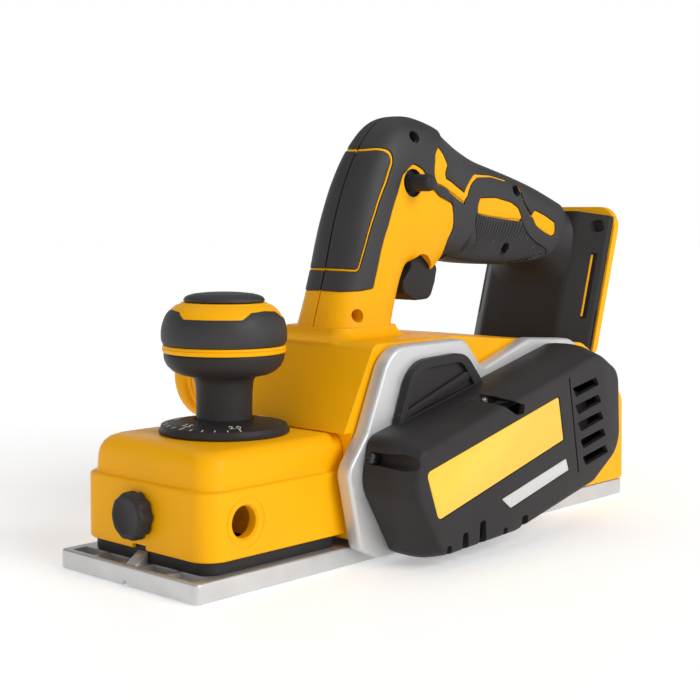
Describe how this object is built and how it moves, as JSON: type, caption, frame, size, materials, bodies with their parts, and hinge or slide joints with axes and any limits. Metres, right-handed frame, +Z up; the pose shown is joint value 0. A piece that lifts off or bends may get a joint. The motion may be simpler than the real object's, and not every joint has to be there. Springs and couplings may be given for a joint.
{
  "type": "electric hand planer",
  "caption": "Cordless hand planer with a two-piece sole, belt-driven cutter drum, depth knob, D-shaped main handle, trigger and battery mount.",
  "frame": {"origin": "middle of the bounding box on the floor plane under the sole", "axes": "+X towards the heel, +Y towards the chip outlet on the user's right, +Z up; the belt cover is on -Y"},
  "size_m": [0.292, 0.138, 0.1862],
  "materials": {
    "yellow_plastic": "moulded, fine grain",
    "black_plastic": "moulded, fine grain",
    "soft_rubber": "soft moulded rubber",
    "cast_aluminium": "cast, satin painted",
    "steel": "machined",
    "copper_wire": "varnished copper winding",
    "brass_contact": "stamped",
    "board_green": "potted circuit board"
  },
  "bodies": {
    "chassis": {"nose_housing": "yellow_plastic", "main_housing": "yellow_plastic", "post_collar": "yellow_plastic", "dust_port": "yellow_plastic", "handle_left": "yellow_plastic", "handle_right": "yellow_plastic", "battery_flange": "yellow_plastic", "belt_cover": "black_plastic", "motor_cradle": "black_plastic", "bearing_bracket": "black_plastic", "trigger_switch": "black_plastic", "battery_bracket": "black_plastic", "terminal_block": "black_plastic", "drive_belt": "soft_rubber", "front_overmould": "soft_rubber", "grip_overmould": "soft_rubber", "rear_shoe": "cast_aluminium", "side_frame": "cast_aluminium", "motor_stator": "steel", "drum_bearing_left": "steel", "drum_bearing_right": "steel", "motor_bearing_left": "steel", "motor_bearing_right": "steel", "handle_screw_1": "steel", "handle_screw_2": "steel", "handle_screw_3": "steel", "handle_screw_4": "steel", "cover_screw_1": "steel", "cover_screw_2": "steel", "foot_pin": "steel", "winding_left": "copper_wire", "winding_right": "copper_wire", "terminal_blade_1": "brass_contact", "terminal_blade_2": "brass_contact", "terminal_blade_3": "brass_contact", "terminal_blade_4": "brass_contact", "control_board": "board_green"},
    "shoe": {"front_shoe": "cast_aluminium", "shoe_collar": "black_plastic"},
    "knob": {"depth_dial": "black_plastic", "depth_screw": "steel", "knob_core": "black_plastic", "knob_shell": "yellow_plastic", "knob_band": "soft_rubber", "knob_cap": "soft_rubber"},
    "clamp": {"clamp_screw": "black_plastic"},
    "cutter": {"cutter_drum": "cast_aluminium", "blade_1": "steel", "blade_2": "steel", "blade_clamp_1": "steel", "blade_clamp_2": "steel", "drum_shaft": "steel", "drum_pulley": "black_plastic"},
    "rotor": {"motor_rotor": "steel", "motor_shaft": "steel", "cooling_fan": "black_plastic", "motor_pulley": "black_plastic"},
    "trigger_body": {"trigger": "black_plastic"},
    "lock_off": {"lock_off_pin": "black_plastic"},
    "foot": {"parking_foot": "black_plastic"}
  },
  "joints": [
    {"name": "depth_knob_turn", "type": "hinge", "parent": "chassis", "child": "knob", "pos_m": [-0.0948, 0.005, 0.08], "axis": [0, 0, 1], "range_deg": [-240, 0]},
    {"name": "front_shoe_slide", "type": "slide", "parent": "chassis", "child": "shoe", "axis": [0, 0, 1], "range_m": [0, 0.002]},
    {"name": "clamp_screw_turn", "type": "hinge", "parent": "chassis", "child": "clamp", "pos_m": [-0.14, 0.005, 0.0265], "axis": [1, 0, 0], "continuous": true},
    {"name": "cutter_spin", "type": "hinge", "parent": "chassis", "child": "cutter", "pos_m": [-0.031, 0.005, 0.0277], "axis": [0, 1, 0], "continuous": true},
    {"name": "rotor_spin", "type": "hinge", "parent": "chassis", "child": "rotor", "pos_m": [0.059, 0.005, 0.049], "axis": [0, 1, 0], "continuous": true},
    {"name": "trigger_pull", "type": "slide", "parent": "chassis", "child": "trigger_body", "axis": [0, 0, 1], "range_m": [0, 0.006], "stiffness_N_per_m": 600, "springref_m": -0.004},
    {"name": "lock_off_press", "type": "slide", "parent": "chassis", "child": "lock_off", "axis": [0, 1, 0], "range_m": [0, 0.004], "stiffness_N_per_m": 500, "springref_m": -0.003},
    {"name": "parking_foot_swing", "type": "hinge", "parent": "chassis", "child": "foot", "pos_m": [0.135, 0.035, 0.0125], "axis": [0, 1, 0], "range_deg": [-60, 0]}
  ],
  "couplings": [
    {"joint": "front_shoe_slide", "follows": "depth_knob_turn", "m_per_rad": -0.00047723},
    {"joint": "rotor_spin", "follows": "cutter_spin", "ratio": 1.4545}
  ]
}
